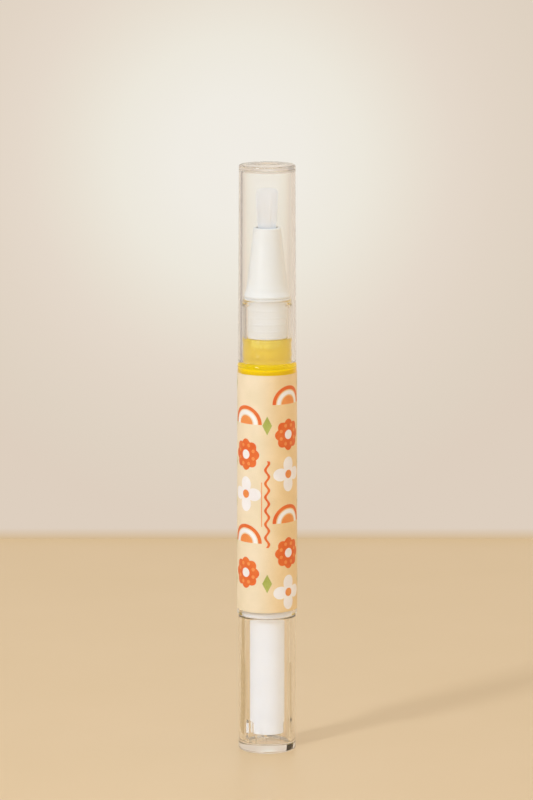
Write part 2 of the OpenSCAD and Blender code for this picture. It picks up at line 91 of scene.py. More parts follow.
def placed(name, shape, sharp=35):
    """Makes a smooth-shaded object of a bmesh and puts it in the scene."""
    mesh = bpy.data.meshes.new(name)
    shape.to_mesh(mesh)
    shape.free()
    piece = bpy.data.objects.new(name, mesh)
    bpy.context.scene.collection.objects.link(piece)
    return smooth(piece, sharp)


def smooth(piece, sharp=35):
    """Shades a piece smooth, apart from its sharp edges. Its long flat faces stay true beside
    small round ones."""
    piece.data.polygons.foreach_set("use_smooth", [True] * len(piece.data.polygons))
    piece.data.set_sharp_from_angle(angle=math.radians(sharp))
    if not piece.modifiers:
        flats = piece.modifiers.new("flats", "WEIGHTED_NORMAL")
        flats.keep_sharp = True
    return piece


def turned(name, outline):
    """Spins an outline of (radius, height) points round the pen's axis. It closes on itself or
    at the axis."""
    shape = bmesh.new()
    points = [shape.verts.new((r, 0, z)) for r, z in outline]
    pairs = zip(points, points[1:] + points[:1])
    edges = [shape.edges.new(pair) for pair in pairs if max(v.co.x for v in pair) > 0]
    bmesh.ops.spin(
        shape, geom=points + edges, cent=(0, 0, 0), axis=(0, 0, 1),
        angle=math.tau, steps=turn_steps, use_merge=True,
    )
    bmesh.ops.remove_doubles(shape, verts=shape.verts, dist=mm / 10000)
    bmesh.ops.recalc_face_normals(shape, faces=shape.faces)
    return placed(name, shape)


def prism(name, outline, width):
    """A bar that stands off the pen's axis along +X, from its (radius, height) outline."""
    shape = bmesh.new()
    face = shape.faces.new([shape.verts.new((r, -width / 2, z)) for r, z in outline])
    side = bmesh.ops.extrude_face_region(shape, geom=[face])["geom"]
    moved = [v for v in side if isinstance(v, bmesh.types.BMVert)]
    bmesh.ops.translate(shape, vec=(0, width, 0), verts=moved)
    bmesh.ops.recalc_face_normals(shape, faces=shape.faces)
    return placed(name, shape)


def carve(piece, tool, how):
    """Joins the tool to the piece, or cuts it out, and takes the tool away."""
    piece.modifiers.clear()
    cut = piece.modifiers.new("carve", "BOOLEAN")
    cut.operation, cut.object, cut.solver = how, tool, "EXACT"
    bpy.context.view_layer.update()
    seen = piece.evaluated_get(bpy.context.evaluated_depsgraph_get())
    made = bpy.data.meshes.new_from_object(seen)
    piece.modifiers.clear()
    piece.data = made
    bpy.data.objects.remove(tool)
    return smooth(piece)


def linear(colour):
    """An sRGB hex colour as the linear values that a shader takes."""
    parts = [int(colour[i:i + 2], 16) / 255 for i in (1, 3, 5)]
    return [p / 12.92 if p <= 0.04045 else ((p + 0.055) / 1.055) ** 2.4 for p in parts] + [1]


def add(tree, kind, inputs=None, stops=(), **settings):
    """Adds a shader node with its settings and colour stops, then sets its inputs or links other
    nodes' outputs to them."""
    made = tree.nodes.new("ShaderNode" + kind)
    for setting, value in settings.items():
        setattr(made, setting, value)
    if stops:
        points = made.color_ramp.elements
        while len(points) < len(stops):
            points.new(0.5)
        for point, (place, colour) in zip(points, stops):
            point.position, point.color = place, linear(colour)
    for socket, value in (inputs or {}).items():
        if isinstance(value, bpy.types.NodeSocket):
            tree.links.new(value, made.inputs[socket])
        else:
            made.inputs[socket].default_value = value
    return made


def new_material(name):
    """An empty node material and its tree."""
    made = bpy.data.materials.new(name)
    made.use_nodes = True
    made.node_tree.nodes.clear()
    return made, made.node_tree


def moulded_bump(tree, ripple, height):
    """The faint waviness of a moulded face. Ripple and height are real sizes."""
    place = add(tree, "TexCoord")
    waves = add(tree, "TexNoise", {
        "Vector": place.outputs["Object"], "Scale": 1 / ripple, "Detail": 2.0, "Roughness": 0.5})
    return add(tree, "Bump", {
        "Height": waves.outputs[0], "Distance": height, "Strength": 1.0}).outputs[0]


def open_to_lamps(tree, shader, passed=0.98):
    """Ends a clear material: lamps and soft light reach what is behind it, a little dimmed at each face."""
    path = add(tree, "LightPath")
    clear = add(tree, "BsdfTransparent", {"Color": (passed, passed, passed, 1)})
    soft = add(tree, "MixShader", {
        0: path.outputs["Is Diffuse Ray"], 1: shader, 2: clear.outputs[0]})
    lamps = add(tree, "MixShader", {
        0: path.outputs["Is Shadow Ray"], 1: soft.outputs[0], 2: clear.outputs[0]})
    add(tree, "OutputMaterial", {"Surface": lamps.outputs[0]})


def clear_plastic(name, colour, ior, roughness):
    """A clear moulded plastic: glossy, with a slow ripple and faint rub marks."""
    made, tree = new_material(name)
    place = add(tree, "TexCoord")
    rubbed = add(tree, "TexNoise", {
        "Vector": place.outputs["Object"], "Scale": 1 / (2.5 * mm), "Detail": 4.0})
    rough = add(tree, "MapRange", {
        "Value": rubbed.outputs[0], "From Min": 0.35, "From Max": 0.75,
        "To Min": roughness, "To Max": roughness * 2.5})
    shader = add(tree, "BsdfPrincipled", {
        "Base Color": linear(colour), "Roughness": rough.outputs[0], "IOR": ior,
        "Transmission Weight": 1.0, "Normal": moulded_bump(tree, 4 * mm, 0.0012 * mm)})
    open_to_lamps(tree, shader.outputs[0])
    return made


# Clear styrene gives the eye thick bright edges, dark bent lines and a clean gloss
styrene = clear_plastic("clear_moulded_styrene", "#FEFDFB", 1.57, 0.015)

foot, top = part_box("knob_shell")
knob_r = top.x
knob_bore_r = knob_r - knob_wall
knob = turned("tail_knob", rounded([
    (0, foot.z + hollow_foot), (foot_ring_r - 0.3 * mm, foot.z + hollow_foot, 0.1 * mm),
    (foot_ring_r, foot.z, 0.1 * mm), (knob_r, foot.z, 0.35 * mm), (knob_r, top.z, 0.3 * mm),
    (knob_bore_r + 0.5 * mm, top.z, 0.1 * mm), (knob_bore_r, top.z - 0.5 * mm, 0.2 * mm),
    (knob_bore_r, knob_floor, 0.15 * mm), (0, knob_floor),
]))
for i in range(rib_count):
    root_r = knob_bore_r + knob_wall / 4
    rib = prism("rib", rounded([
        (root_r, knob_floor - 0.5 * mm), (ledge_r, knob_floor - 0.5 * mm),
        (ledge_r, ledge_top, 0.12 * mm), (rib_grip_r, ledge_top, 0.12 * mm),
        (rib_grip_r, rib_top, 0.12 * mm), (knob_bore_r, rib_slope_top, 0.2 * mm),
        (root_r, rib_slope_top),
    ]), rib_width)
    rib.data.transform(Matrix.Rotation(rib_turn + i * math.tau / rib_count, 4, "Z"))
    knob = carve(knob, rib, "UNION")
knob.data.materials.append(styrene)
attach(knob, "knob")
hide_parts("knob_shell")

# Drive sleeve
# The white core seen through the knob: a straight tube of natural acetal. It turns with the
# knob, snaps into the insert by its bead, and turns the screw by two flats in its bore.
sleeve_r = 4.05 * mm
bead_r = 4.75 * mm
bead_foot = 33.8 * mm
bead_t = 1 * mm
ratchet_foot = 36.2 * mm
wheel_seat_r = 3.3 * mm
sleeve_bore_r = 2.76 * mm
half_flats = 2.06 * mm
flat_w = 2.6 * mm
flat_root = 0.15 * mm
flat_inset = 0.4 * mm


def white_plastic(name, shade, light, roughness, ior, glow):
    """An opaque white moulded plastic: light sinks in a little, and its tone drifts slightly."""
    made, tree = new_material(name)
    place = add(tree, "TexCoord")
    drift = add(tree, "TexNoise", {
        "Vector": place.outputs["Object"], "Scale": 1 / (6 * mm), "Detail": 3.0})
    colour = add(tree, "ValToRGB", {0: drift.outputs[0]}, stops=[(0.3, shade), (0.7, light)])
    grain = add(tree, "TexNoise", {
        "Vector": place.outputs["Object"], "Scale": 1 / (0.35 * mm), "Detail": 2.0})
    rough = add(tree, "MapRange", {
        "Value": grain.outputs[0], "To Min": roughness * 0.85, "To Max": roughness * 1.15})
    shader = add(tree, "BsdfPrincipled", {
        "Base Color": colour.outputs[0], "Roughness": rough.outputs[0], "IOR": ior,
        "Subsurface Weight": glow, "Subsurface Radius": (1.0, 0.95, 0.9),
        "Subsurface Scale": 0.7 * mm, "Normal": moulded_bump(tree, 3 * mm, 0.006 * mm)})
    add(tree, "OutputMaterial", {"Surface": shader.outputs[0]})
    return made


# Natural acetal gives a cool, dense white with a soft satin shine
acetal = white_plastic("satin_moulded_acetal", "#F6F6F6", "#FCFCFC", 0.38, 1.48, 0.15)

foot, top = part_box("drive_sleeve")
sleeve = turned("core_sleeve", rounded([
    (sleeve_bore_r, foot.z, 0.15 * mm), (sleeve_r, foot.z, 0.25 * mm),
    (sleeve_r, bead_foot, 0.1 * mm), (bead_r, bead_foot, 0.12 * mm),
    (bead_r, bead_foot + bead_t, 0.3 * mm), (sleeve_r, bead_foot + bead_t, 0.1 * mm),
    (sleeve_r, ratchet_foot, 0.15 * mm), (wheel_seat_r, ratchet_foot),
    (wheel_seat_r, top.z, 0.15 * mm), (sleeve_bore_r, top.z, 0.1 * mm),
]))
for side in (-1, 1):
    flat = bmesh.new()
    bmesh.ops.create_cube(flat, size=1)
    inner = sleeve_bore_r + flat_root
    bmesh.ops.scale(
        flat, vec=(inner - half_flats, flat_w, top.z - foot.z - flat_inset), verts=flat.verts)
    bmesh.ops.translate(
        flat, vec=(side * (inner + half_flats) / 2, 0, (top.z + foot.z) / 2), verts=flat.verts)
    sleeve = carve(sleeve, placed("flat", flat), "UNION")
sleeve.data.materials.append(acetal)
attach(sleeve, "knob")
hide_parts("drive_sleeve")

# Drive inside the barrel
# The ratchet wheel, lead screw, threaded insert, piston, brush plug and feed tube keep their
# CAD shapes. They are moulded in acetal, but the piston is soft polyethylene.

# Natural polyethylene gives a milky, waxy white that lets some light through
polyethylene = white_plastic("waxy_moulded_polyethylene", "#ECEAE5", "#F5F3EF", 0.42, 1.51, 0.6)

for node, finish, slot in (
    ("ratchet_wheel", acetal, "white_acetal"),
    ("lead_screw", acetal, "white_acetal"),
    ("guide_nut", acetal, "white_acetal"),
    ("bristle_retainer", acetal, "white_acetal"),
    ("feed_tube", acetal, "white_acetal"),
    ("piston", polyethylene, "white_polyethylene"),
):
    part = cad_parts[node]
    part.data.materials.clear()
    part.data.materials.append(finish)

# Barrel
# One clear copolyester moulding: the chamber, the shoulder and the neck with three snap
# beads. Its tail is notched for the insert's keys.
bore_r = 5.6 * mm
seat_r = 5.95 * mm
seat_top = 45.8 * mm
snap_z = 43.0 * mm
shoulder_z = 92.3 * mm
shoulder_r = 6.88 * mm
chamber_top = 91.0 * mm
neck_r = 5.65 * mm
neck_bore_r = 4.8 * mm
neck_beads = [94.1 * mm, 97.4 * mm, 105.7 * mm]
bead_h = 0.16 * mm
bead_w = 0.76 * mm
piston_top = 55.0 * mm
plug_foot = 97.9 * mm
notch_w = 1.7 * mm
notch_span = 13.1 * mm
notch_top = 34.55 * mm

# Clear copolyester is as glossy as the knob, a little less bright at its edges
copolyester = clear_plastic("clear_moulded_copolyester", "#FEFDFB", 1.5, 0.02)


def wetted(name, colour, ior):
    """The clear wall where oil lies against it: the two bend light almost alike, so the step
    between them hardly shows."""
    made, tree = new_material(name)
    shader = add(tree, "BsdfPrincipled", {
        "Base Color": linear(colour), "Roughness": 0.0, "IOR": ior, "Transmission Weight": 1.0,
        "Specular IOR Level": 0.5})
    open_to_lamps(tree, shader.outputs[0])
    return made


wet_copolyester = wetted("oil_wet_copolyester", "#FFFFFF", 1.02)

foot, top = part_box("barrel_tube")
barrel_r = top.x
beads = []
for z in neck_beads:
    beads += [
        (neck_r, z - bead_w / 2, 0.08 * mm), (neck_r + bead_h, z, 0.12 * mm),
        (neck_r, z + bead_w / 2, 0.08 * mm)]
barrel = turned("barrel", rounded([
    (seat_r, foot.z, 0.1 * mm), (barrel_r, foot.z, 0.3 * mm),
    (shoulder_r, shoulder_z, 0.9 * mm), (neck_r, shoulder_z, 0.25 * mm), *beads,
    (neck_r, top.z, 0.3 * mm), (neck_bore_r, top.z, 0.1 * mm), (neck_bore_r, plug_foot),
    (neck_bore_r, chamber_top, 0.3 * mm), (bore_r, chamber_top, 0.4 * mm),
    (bore_r, piston_top), (bore_r, seat_top), (seat_r, seat_top),
    (seat_r, snap_z + 0.5 * mm, 0.1 * mm), (seat_r + 0.2 * mm, snap_z, 0.2 * mm),
    (seat_r, snap_z - 0.5 * mm, 0.1 * mm),
]))
notch = bmesh.new()
bmesh.ops.create_cube(notch, size=1)
bmesh.ops.scale(notch, vec=(notch_span, notch_w, 2 * (notch_top - foot.z)), verts=notch.verts)
bmesh.ops.translate(notch, vec=(0, 0, foot.z), verts=notch.verts)
barrel = carve(barrel, placed("notch", notch), "DIFFERENCE")
barrel.data.materials.append(copolyester)
barrel.data.materials.append(wet_copolyester)
for face in barrel.data.polygons:
    r = math.hypot(face.center.x, face.center.y)
    inside = r < (bore_r if face.center.z < chamber_top else neck_bore_r) + 0.01 * mm
    inside = inside or (r < bore_r and abs(face.center.z - chamber_top) < 0.5 * mm)
    if inside and piston_top < face.center.z < plug_foot:
        face.material_index = 1
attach(barrel, "barrel")
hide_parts("barrel_tube")

# Oil
# Clear yellow oil in the chamber and the neck. The chamber's share shortens as the piston
# rises, and the neck's stays as it is.
oil_gap = 0.02 * mm
stem_r = 2.6 * mm
stem_foot = 95.7 * mm


def oil(name, colour, density, body, cloud):
    """Oil that takes its colour from depth, and a share of it from its body, which glows in the light.
    Its skin doesn't bend light, because the wall's wetted face already does."""
    made, tree = new_material(name)
    clear = add(tree, "BsdfPrincipled", {
        "Base Color": (1, 1, 1, 1), "Roughness": 0.0, "IOR": 1.001, "Transmission Weight": 1.0,
        "Specular IOR Level": 0.0})
    glow = add(tree, "BsdfPrincipled", {
        "Base Color": linear(body), "Roughness": 0.6, "IOR": 1.001, "Specular IOR Level": 0.0})
    shader = add(tree, "MixShader", {0: cloud, 1: clear.outputs[0], 2: glow.outputs[0]})
    open_to_lamps(tree, shader.outputs[0], 1.0)
    depth = add(tree, "VolumeAbsorption", {"Color": linear(colour), "Density": density})
    tree.links.new(depth.outputs[0], tree.nodes["Material Output"].inputs["Volume"])
    return made


# Nail oil is clear, and a few millimetres of it are golden; the full chamber glows a deep yellow
golden_oil = oil("golden_yellow_oil", "#FFF724", 330.0, "#FFDE06", 0.37)
deep_oil = oil("deep_golden_yellow_oil", "#FFF31C", 420.0, "#FFD400", 0.88)

foot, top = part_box("oil_fill")
chamber_oil = turned("chamber_oil", rounded([
    (0, foot.z), (bore_r - oil_gap, foot.z, 0.1 * mm),
    (bore_r - oil_gap, chamber_top - oil_gap, 0.4 * mm), (0, chamber_top - oil_gap),
]))
neck_oil = turned("neck_oil", rounded([
    (0, chamber_top - oil_gap / 2), (neck_bore_r - oil_gap, chamber_top - oil_gap / 2),
    (neck_bore_r - oil_gap, top.z, 0.05 * mm), (stem_r + oil_gap, top.z, 0.05 * mm),
    (stem_r + oil_gap, stem_foot - oil_gap, 0.2 * mm), (0, stem_foot - oil_gap),
]))
for part, finish in ((chamber_oil, deep_oil), (neck_oil, golden_oil)):
    part.data.materials.append(finish)
    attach(part, "barrel")
    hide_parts("oil_fill")
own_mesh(chamber_oil)

# Label
# Thin printed film, wound once round the barrel with its end lapped over its start at the
# back. Its ground is a warm peach under a satin varnish, with painted light across it: paler
# towards one side as a painted sheen, deeper towards the other as a painted warm glow.
film_t = 0.03 * mm
film_gap = 0.012 * mm
film_lap = 2.5 * mm
cad_film_t = 0.08 * mm

foot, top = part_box("label_wrap")
label_foot_r = top.x
label_top_r = 6.975 * mm
label_foot_z, label_top_z = foot.z, top.z


def film_r(z):
    """Radius of the film's face at a height; the barrel under it is slightly conical."""
    share = (z - label_foot_z) / (label_top_z - label_foot_z)
    outer = label_foot_r + share * (label_top_r - label_foot_r)
    return outer - cad_film_t + film_gap + film_t


def printed_film(name, shade, light, painted_light_pair=None):
    """A printed ink or ground under satin varnish, with the fine dots of its screen. A second pair
    of colours adds painted light: a blend from one side of the pen to the other."""
    made, tree = new_material(name)
    place = add(tree, "TexCoord")
    screen = add(tree, "TexNoise", {
        "Vector": place.outputs["Object"], "Scale": 1 / (0.12 * mm), "Detail": 2.0, "Roughness": 0.6})
    wash = add(tree, "TexNoise", {
        "Vector": place.outputs["Object"], "Scale": 1 / (5 * mm), "Detail": 2.0})
    tone = add(tree, "Math", {0: screen.outputs[0], 1: wash.outputs[0]}, operation="ADD")
    half = add(tree, "Math", {0: tone.outputs[0], 1: 0.5}, operation="MULTIPLY")
    tint = add(tree, "ValToRGB", {0: half.outputs[0]}, stops=[(0.4, shade), (0.6, light)])
    colour = tint.outputs[0]
    # Painted light: the second pair blends in towards +X, a painted shift of tone across the pen.
    if painted_light_pair:
        side = add(tree, "SeparateXYZ", {0: place.outputs["Object"]})
        across = add(tree, "MapRange", {
            "Value": side.outputs["X"], "From Min": -3 * mm, "From Max": 4 * mm},
            interpolation_type="SMOOTHSTEP")
        painted_light_tint = add(tree, "ValToRGB", {0: half.outputs[0]}, stops=[(0.4, painted_light_pair[0]), (0.6, painted_light_pair[1])])
        painted_light_blend = add(tree, "Mix", {
            0: across.outputs[0], 6: colour, 7: painted_light_tint.outputs[0]}, data_type="RGBA")
        colour = painted_light_blend.outputs[2]
    shader = add(tree, "BsdfPrincipled", {
        "Base Color": colour, "Roughness": 0.42, "IOR": 1.49,
        "Normal": moulded_bump(tree, 0.5 * mm, 0.001 * mm)})
    add(tree, "OutputMaterial", {"Surface": shader.outputs[0]})
    return made


# Peach ground of the film: warm and slightly satin. Its blend from a pale peach at -X to a deeper
# one at +X is painted light: a painted sheen on the pale side, a painted warm glow on the deep side.
peach_film = printed_film("peach_printed_film", "#E8D3AC", "#F0DAB6", painted_light_pair=("#E9C68E", "#F1CF9A"))

sheet = bmesh.new()
lap_turn = film_lap / label_foot_r
wind = 176
outline = []
for step in range(wind + 1):
    wound = (math.tau + lap_turn) * step / wind
    lift = film_t * max(0.0, (wound - math.tau + lap_turn) / lap_turn)
    turn = wound + math.pi / 2 - lap_turn / 2
    outline.append((turn, film_r(label_foot_z) - film_t + min(lift, film_t)))
inner = [sheet.verts.new((r * math.cos(a), r * math.sin(a), label_foot_z)) for a, r in outline]
outer = [
    sheet.verts.new(((r + film_t) * math.cos(a), (r + film_t) * math.sin(a), label_foot_z))
    for a, r in outline]
sheet.faces.new(inner + outer[::-1])
rise = bmesh.ops.extrude_face_region(sheet, geom=list(sheet.faces))["geom"]
raised = [v for v in rise if isinstance(v, bmesh.types.BMVert)]
bmesh.ops.translate(sheet, vec=(0, 0, label_top_z - label_foot_z), verts=raised)
narrow = film_r(label_top_z) / film_r(label_foot_z)
bmesh.ops.scale(sheet, vec=(narrow, narrow, 1), verts=raised)
bmesh.ops.recalc_face_normals(sheet, faces=sheet.faces)
label = placed("label_film", sheet)
label.data.materials.append(peach_film)
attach(label, "barrel")
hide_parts("label_wrap")

# Label print
# A plain folk pattern in four screen-printed inks: nested arches, rosettes, quatrefoils and
# lozenges in staggered columns, with a waved line and a fine straight one up the front.
ink_layer = 0.01 * mm
ink_sunk = 0.003 * mm
ink_strip = 0.5 * mm
column_turns = [-1.5, -0.5, 0.5, 1.5]
motif_rise = 9.33 * mm
motif_rows = 6
arch_r = 4.3 * mm
arch_w = 0.85 * mm
arch_step = 1.35 * arch_w
rosette_r = 3.7 * mm
rosette_lobes = 8
rosette_depth = 0.16
rosette_heart_r = rosette_r * 0.3
dot_ring_r = rosette_r * 0.62
quatrefoil_r = 4.1 * mm
quatrefoil_depth = 0.55
quatrefoil_heart_r = quatrefoil_r * 0.24
lozenge_w = 1.15 * mm
lozenge_h = 2.2 * mm
dot_r = 0.42 * mm
wave_low = 15.5 * mm
wave_high = 36 * mm
wave_w = 0.62 * mm
wave_swing = 0.42 * mm
wave_period = 3.2 * mm
line_inset = 5 * mm
line_w = 0.2 * mm
line_place = -1.3 * mm
wave_steps = 80
arc_steps = 36


def arc(u, v, r, start, end):
    """Points round a centre at (distance round the film, height)."""
    turns = [start + (end - start) * k / arc_steps for k in range(arc_steps + 1)]
    return [(u + r * math.cos(a), v + r * math.sin(a)) for a in turns]


def arch(u, v, r, width):
    """A half ring that stands on its two feet."""
    return arc(u, v, r, 0, math.pi) + arc(u, v, r - width, math.pi, 0)


def lobed(u, v, r, lobes=1, depth=0.0, steps=96):
    """A closed outline with round lobes, or a plain disc."""
    points = []
    for k in range(steps):
        a = math.tau * k / steps
        reach = r * (1 - depth * (1 - abs(math.cos(lobes * a / 2))))
        points.append((u + reach * math.sin(a), v + reach * math.cos(a)))
    return points


def waved(low, high, swing, period, width, u=0.0):
    """A waved line that runs up the film."""
    heights = [low + (high - low) * k / wave_steps for k in range(wave_steps + 1)]
    line = [(u + swing * math.sin(math.tau * (v - low) / period), v) for v in heights]
    return [(p - width / 2, v) for p, v in line] + [(p + width / 2, v) for p, v in reversed(line)]


def printed(name, shapes, ink):
    """Lays (outline, layer) shapes of one ink on the wound film."""
    whole = bmesh.new()
    held = bpy.data.meshes.new(name + "_shape")
    for outline, layer in shapes:
        flat = bmesh.new()
        flat.faces.new([flat.verts.new((u, 0, label_foot_z + v)) for u, v in outline])
        left = min(u for u, v in outline)
        cuts = int((max(u for u, v in outline) - left) / ink_strip)
        for k in range(1, cuts + 1):
            bmesh.ops.bisect_plane(
                flat, geom=flat.verts[:] + flat.edges[:] + flat.faces[:],
                plane_co=(left + k * ink_strip, 0, 0), plane_no=(1, 0, 0))
        above = bmesh.ops.extrude_face_region(flat, geom=flat.faces[:])["geom"]
        raised = {v for v in above if isinstance(v, bmesh.types.BMVert)}
        for point in flat.verts:
            r = film_r(point.co.z) + (layer * ink_layer if point in raised else -ink_sunk)
            turn = point.co.x / label_foot_r
            point.co = (r * math.sin(turn), -r * math.cos(turn), point.co.z)
        bmesh.ops.recalc_face_normals(flat, faces=flat.faces)
        flat.to_mesh(held)
        flat.free()
        whole.from_mesh(held)
    piece = placed(name, whole)
    piece.data.materials.append(ink)
    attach(piece, "barrel")


orange_shapes, coral_shapes, white_shapes, lime_shapes = [], [], [], []
column_pitch = math.tau * label_foot_r / len(column_turns)
for column, share in enumerate(column_turns):
    u = share * column_pitch
    for row in range(motif_rows):
        v = (row + 0.5 + 0.5 * (column % 2)) * motif_rise
        kind = (row + 2 * column) % 3
        if v + arch_r > label_top_z - label_foot_z:
            continue
        if kind == 0:
            low = v - arch_r / 2
            orange_shapes.append((arch(u, low, arch_r, arch_w), 1))
            white_shapes.append((arch(u, low, arch_r - arch_step, arch_w), 1))
            coral_shapes.append((arc(u, low, arch_r - 2 * arch_step, 0, math.pi), 1))
        elif kind == 1:
            white_shapes.append((lobed(u, v, quatrefoil_r, 4, quatrefoil_depth), 1))
            coral_shapes.append((lobed(u, v, quatrefoil_heart_r), 2))
        else:
            orange_shapes.append((lobed(u, v, rosette_r, rosette_lobes, rosette_depth), 1))
            white_shapes.append((lobed(u, v, rosette_heart_r), 2))
            for k in range(rosette_lobes):
                a = math.tau * (k + 0.5) / rosette_lobes
                place = (u + dot_ring_r * math.cos(a), v + dot_ring_r * math.sin(a))
                coral_shapes.append((lobed(*place, dot_r, steps=24), 2))
        beside = u + column_pitch / 2
        above = v + motif_rise * (0.25 - 0.5 * (column % 2))
        if share != -0.5 or not wave_low < above < wave_high:
            lime_shapes.append(([
                (beside, above - lozenge_h), (beside + lozenge_w, above),
                (beside, above + lozenge_h), (beside - lozenge_w, above)], 1))
orange_shapes.append((waved(wave_low, wave_high, wave_swing, wave_period, wave_w), 2))
coral_shapes.append((
    waved(wave_low + line_inset, wave_high - line_inset, 0, mm, line_w, u=line_place), 1))

# Screen inks dry flat and slightly satin, each with a faint dot of its screen
orange_ink = printed_film("orange_screen_ink", "#E05A1C", "#E9742E")
coral_ink = printed_film("coral_screen_ink", "#EA8238", "#F09C56")
white_ink = printed_film("white_screen_ink", "#EDE3DA", "#F6EEE6")
lime_ink = printed_film("lime_screen_ink", "#9CA042", "#BFBF62")
printed("orange_print", orange_shapes, orange_ink)
printed("coral_print", coral_shapes, coral_ink)
printed("white_print", white_shapes, white_ink)
printed("lime_print", lime_shapes, lime_ink)

# Neck plug
# Milky polyethylene, pushed in the neck. Four ribs seal it, its stem dips in the oil, and
# a fine hole through it meters the oil to the brush.
plug_r = 4.52 * mm
plug_rib_h = 0.06 * mm
plug_rib_w = 0.5 * mm
plug_ribs = [(99.8 + 1.6 * i) * mm for i in range(4)]
neck_top = 106.9 * mm
feed_r = 0.8 * mm
socket_r = 3.68 * mm
socket_foot = 101.2 * mm


def veiled_plastic(name, colour, veil_colour, veil, ior, roughness):
    """An unpigmented plastic that clouds slightly: mostly clear and a little rough, partly a
    soft white veil."""
    made, tree = new_material(name)
    place = add(tree, "TexCoord")
    cloud = add(tree, "TexNoise", {
        "Vector": place.outputs["Object"], "Scale": 1 / (2 * mm), "Detail": 4.0})
    rough = add(tree, "MapRange", {
        "Value": cloud.outputs[0], "From Min": 0.3, "From Max": 0.7,
        "To Min": roughness * 0.8, "To Max": roughness * 1.2})
    clear = add(tree, "BsdfPrincipled", {
        "Base Color": linear(colour), "Roughness": rough.outputs[0], "IOR": ior,
        "Transmission Weight": 1.0})
    white = add(tree, "BsdfPrincipled", {
        "Base Color": linear(veil_colour), "Roughness": roughness, "IOR": ior})
    both = add(tree, "MixShader", {0: veil, 1: clear.outputs[0], 2: white.outputs[0]})
    open_to_lamps(tree, both.outputs[0], 1 - veil / 2)
    return made


# Natural polyethylene this thin is milky: a soft white that hides most of what is behind
milky = veiled_plastic("milky_moulded_polyethylene", "#FFFFFF", "#FBFAF5", 0.86, 1.51, 0.35)

foot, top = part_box("neck_plug")
flange_r = top.x
ribs = []
for z in plug_ribs:
    ribs += [
        (plug_r, z - plug_rib_w / 2, 0.05 * mm), (plug_r + plug_rib_h, z, 0.3 * mm),
        (plug_r, z + plug_rib_w / 2, 0.05 * mm)]
plug = turned("milky_plug", rounded([
    (feed_r, foot.z, 0.1 * mm), (stem_r, foot.z, 0.35 * mm), (stem_r, plug_foot, 0.1 * mm),
    (plug_r, plug_foot, 0.35 * mm), *ribs, (plug_r, neck_top, 0.05 * mm),
    (flange_r, neck_top, 0.1 * mm), (flange_r, top.z, 0.12 * mm), (socket_r, top.z, 0.1 * mm),
    (socket_r, socket_foot, 0.1 * mm), (feed_r, socket_foot, 0.1 * mm),
]))
plug.data.materials.append(milky)
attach(plug, "barrel")
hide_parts("neck_plug")

# Nozzle
# A slim white polypropylene cone with a flared foot, smooth from its polished mould. Its
# spigot plugs into the neck plug, and the brush stands in its mouth.
spigot_r = 3.65 * mm
brush_chamber_r = 3.05 * mm
mouth_r = 2.4 * mm
tip_r = 3.15 * mm
rim_r = 5.35 * mm
nozzle_seat = 107.43 * mm
rim_top = 107.9 * mm
flare_top = 110.49 * mm
flare_r = 4.65 * mm
brush_ledge = 114.2 * mm

# Polypropylene in thin white walls: bright, faintly translucent, with a tight shine
polypropylene = white_plastic("smooth_moulded_polypropylene", "#E8E5DD", "#EFECE4", 0.24, 1.49, 0.3)

foot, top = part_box("nozzle")
cone = turned("brush_nozzle", rounded([
    (brush_chamber_r, foot.z, 0.1 * mm), (spigot_r, foot.z, 0.15 * mm),
    (spigot_r, nozzle_seat, 0.05 * mm), (rim_r, nozzle_seat, 0.08 * mm),
    (rim_r, rim_top, 0.12 * mm), (flare_r + 0.3 * mm, rim_top + 1.0 * mm, 1.6 * mm),
    (flare_r, flare_top, 2.5 * mm), (tip_r, top.z, 0.25 * mm), (mouth_r, top.z, 0.15 * mm),
    (mouth_r, brush_ledge, 0.1 * mm), (brush_chamber_r, brush_ledge, 0.05 * mm),
], steps=6))
cone.data.materials.append(polypropylene)
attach(cone, "barrel")
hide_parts("nozzle")

# Brush
# Some hundreds of fine nylon filaments, set in a backing disc. They spread a little
# from the nozzle's mouth, and their trimmed ends make a nearly flat top.
filament_count = 760
filament_r = 0.055 * mm
filament_tip_r = 0.045 * mm
filament_sides = 5
filament_rings = 9
brush_root_r = 1.85 * mm
brush_spread = 1.37
spread_from = 0.35
spread_to = 0.9
backing_foot = 112.7 * mm
backing_top = 114.17 * mm
backing_r = 3.0 * mm
backing_bore_r = 0.6 * mm
filament_set = 0.3 * mm
edge_drop = 0.8 * mm
trim_scatter = 0.25
stray_reach = 0.05 * mm
tube_clear_r = 0.66 * mm


def nylon(name, shade, light):
    """Clear nylon filaments packed together: a soft grey white with a silky shine along them."""
    made, tree = new_material(name)
    place = add(tree, "TexCoord")
    stretch = add(tree, "Mapping", {"Vector": place.outputs["Object"], "Scale": (1, 1, 0.04)})
    streaks = add(tree, "TexNoise", {
        "Vector": stretch.outputs[0], "Scale": 1 / (0.25 * mm), "Detail": 2.0})
    colour = add(tree, "ValToRGB", {0: streaks.outputs[0]}, stops=[(0.35, shade), (0.65, light)])
    shader = add(tree, "BsdfPrincipled", {
        "Base Color": colour.outputs[0], "Roughness": 0.4, "IOR": 1.53})
    open_to_lamps(tree, shader.outputs[0], 0.97)
    return made


filament_nylon = nylon("natural_nylon_filament", "#FDFCF9", "#FFFFFE")

